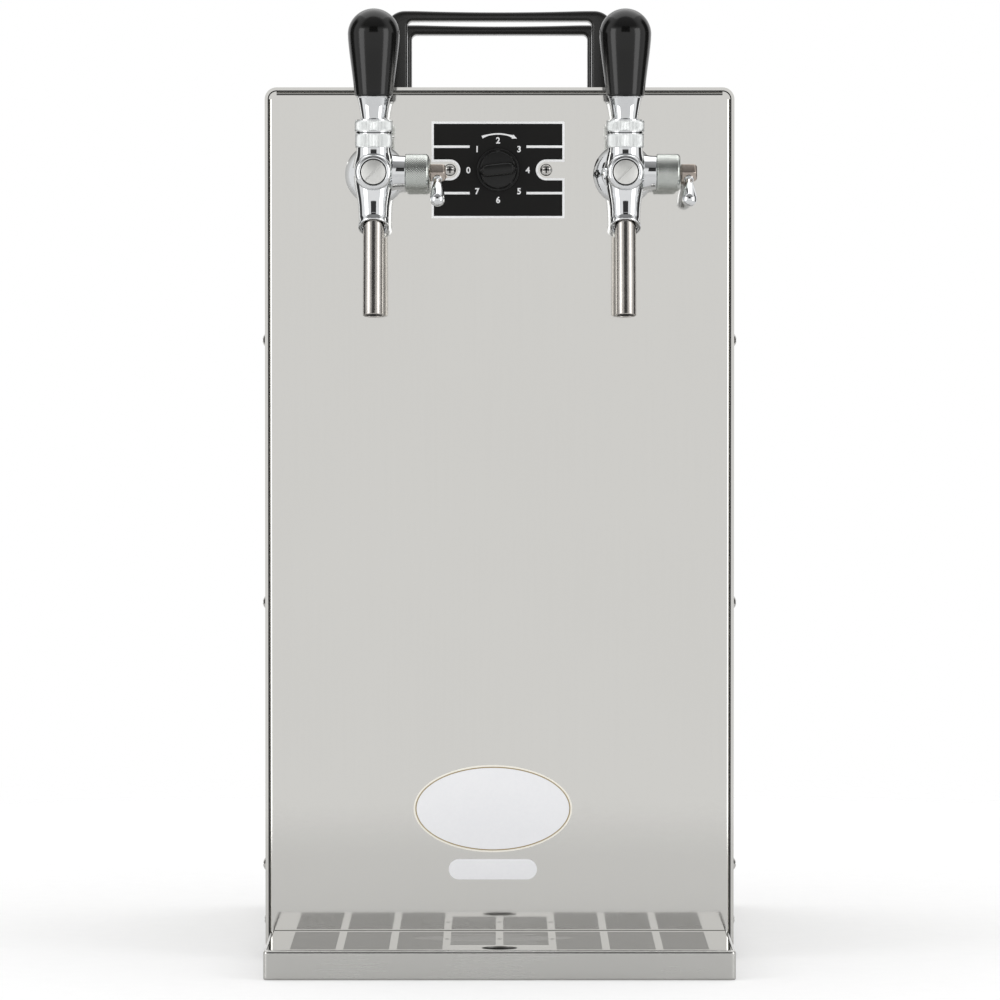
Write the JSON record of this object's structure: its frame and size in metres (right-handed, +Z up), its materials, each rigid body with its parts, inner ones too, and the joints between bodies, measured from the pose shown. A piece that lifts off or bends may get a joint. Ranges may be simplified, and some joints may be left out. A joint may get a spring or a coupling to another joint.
{
  "type": "dry beer cooler",
  "caption": "Counter-top dry beer cooler: steel case with compensator taps on the front, thermostat dial, carry handles, drip tray with grate, refrigeration unit inside.",
  "frame": {"origin": "middle of the footprint on the counter, drip tray and rear fittings included", "axes": "+Z up, the taps face -Y, +X to the right as seen from the front"},
  "size_m": [0.32, 0.56, 0.643],
  "materials": {
    "case_steel": "polished stainless sheet",
    "plain_steel": "plain zinc-plated steel",
    "screw_steel": "nickel-plated",
    "black_rubber": "matt rubber",
    "black_plastic": "satin black moulding",
    "dial_black": "printed black foil on a plate",
    "inner_black": "black moulding",
    "black_paint": "black enamel",
    "badge_white": "glossy white",
    "tap_chrome": "bright chrome plate",
    "copper": "bare copper tube",
    "line_steel": "stainless tube",
    "aluminium": "bare aluminium",
    "foam": "white expanded foam, light and matt"
  },
  "bodies": {
    "case": {"front_panel": "case_steel", "cover": "case_steel", "rear_panel": "case_steel", "base_plate": "plain_steel", "fan_shroud": "plain_steel", "shank_nuts": "plain_steel", "handle_bolts": "plain_steel", "case_screws": "screw_steel", "dial_screws": "screw_steel", "feet": "black_rubber", "compressor_grommets": "black_rubber", "front_handle": "black_plastic", "rear_handle": "black_plastic", "inlet_fittings": "black_plastic", "cord_gland": "black_plastic", "dial_plate": "dial_black", "thermostat": "inner_black", "compressor": "black_paint", "fan_motor": "black_paint", "front_badges": "badge_white", "left_tap_shank": "tap_chrome", "left_tap_body": "tap_chrome", "left_tap_cap": "tap_chrome", "left_tap_bonnet": "tap_chrome", "left_tap_spout": "tap_chrome", "left_compensator_collar": "tap_chrome", "right_tap_shank": "tap_chrome", "right_tap_body": "tap_chrome", "right_tap_cap": "tap_chrome", "right_tap_bonnet": "tap_chrome", "right_tap_spout": "tap_chrome", "right_compensator_collar": "tap_chrome", "coupling_nuts": "tap_chrome", "condenser_coil": "copper", "filter_drier": "copper", "capillary_line": "copper", "suction_line": "copper", "discharge_line": "copper", "beer_lines": "line_steel", "condenser_fins": "aluminium", "cooling_block": "aluminium", "insulation_box": "foam", "insulation_lid": "foam"},
    "left_lever": {"left_tap_lever": "tap_chrome", "left_tap_ferrule": "tap_chrome", "left_tap_handle": "black_plastic"},
    "right_lever": {"right_tap_lever": "tap_chrome", "right_tap_ferrule": "tap_chrome", "right_tap_handle": "black_plastic"},
    "left_valve": {"left_tap_valve": "plain_steel"},
    "right_valve": {"right_tap_valve": "plain_steel"},
    "left_compensator": {"left_compensator_lever": "tap_chrome"},
    "right_compensator": {"right_compensator_lever": "tap_chrome"},
    "knob": {"thermostat_shaft": "plain_steel", "thermostat_knob": "black_plastic"},
    "fan": {"fan_shaft": "plain_steel", "fan_blade": "inner_black"},
    "tray": {"drip_tray": "case_steel"},
    "grate": {"drip_grate": "case_steel"}
  },
  "joints": [
    {"name": "left_lever_turn", "type": "hinge", "parent": "case", "child": "left_lever", "pos_m": [-0.0835, -0.202, 0.5467], "axis": [1, 0, 0], "range_deg": [0, 30]},
    {"name": "left_valve_slide", "type": "slide", "parent": "case", "child": "left_valve", "axis": [0, 1, 0], "range_m": [0, 0.0087]},
    {"name": "left_compensator_turn", "type": "hinge", "parent": "case", "child": "left_compensator", "pos_m": [-0.0835, -0.196, 0.5295], "axis": [1, 0, 0], "range_deg": [-90, 90]},
    {"name": "right_lever_turn", "type": "hinge", "parent": "case", "child": "right_lever", "pos_m": [0.0835, -0.202, 0.5467], "axis": [1, 0, 0], "range_deg": [0, 30]},
    {"name": "right_valve_slide", "type": "slide", "parent": "case", "child": "right_valve", "axis": [0, 1, 0], "range_m": [0, 0.0087]},
    {"name": "right_compensator_turn", "type": "hinge", "parent": "case", "child": "right_compensator", "pos_m": [0.0835, -0.196, 0.5295], "axis": [1, 0, 0], "range_deg": [-90, 90]},
    {"name": "knob_turn", "type": "hinge", "parent": "case", "child": "knob", "pos_m": [-0.001, -0.144, 0.5325], "axis": [0, -1, 0], "range_deg": [-141, 174]},
    {"name": "fan_spin", "type": "hinge", "parent": "case", "child": "fan", "pos_m": [0, 0.162, 0.1425], "axis": [0, 1, 0], "continuous": true},
    {"name": "tray_pull", "type": "slide", "parent": "case", "child": "tray", "axis": [0, -1, 0], "range_m": [0, 0.15]},
    {"name": "grate_lift", "type": "slide", "parent": "tray", "child": "grate", "axis": [0, 0, 1], "range_m": [0, 0.1]}
  ],
  "couplings": [
    {"joint": "left_valve_slide", "follows": "left_lever_turn", "m_per_rad": 0.016425},
    {"joint": "right_valve_slide", "follows": "right_lever_turn", "m_per_rad": 0.016425}
  ]
}
